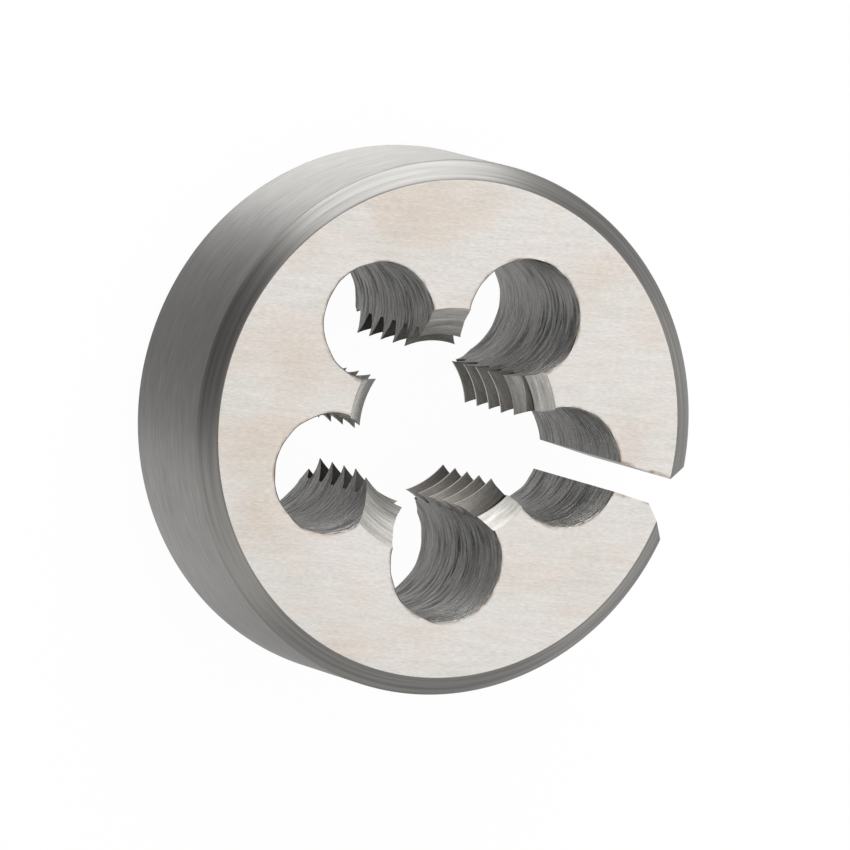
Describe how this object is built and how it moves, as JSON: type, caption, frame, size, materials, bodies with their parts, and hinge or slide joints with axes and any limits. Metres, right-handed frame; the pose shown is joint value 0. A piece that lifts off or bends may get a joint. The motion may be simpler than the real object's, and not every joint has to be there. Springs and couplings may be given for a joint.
{
  "type": "round threading die",
  "caption": "Round split threading die: a flat steel disc with a coarse thread through its middle, round chip holes around it and a slot to the rim.",
  "frame": {"origin": "on the thread's axis, half way through the disc's thickness", "axes": "+Z along the thread's axis, out of the front face where the cut starts; +X along the slot, from the axis to the rim"},
  "size_m": [0.0378, 0.038, 0.014],
  "materials": {
    "ground_steel": "ground faces and rim, turned chamfers, drilled chip holes"
  },
  "bodies": {
    "root": {"threading_die": "ground_steel"}
  },
  "joints": []
}
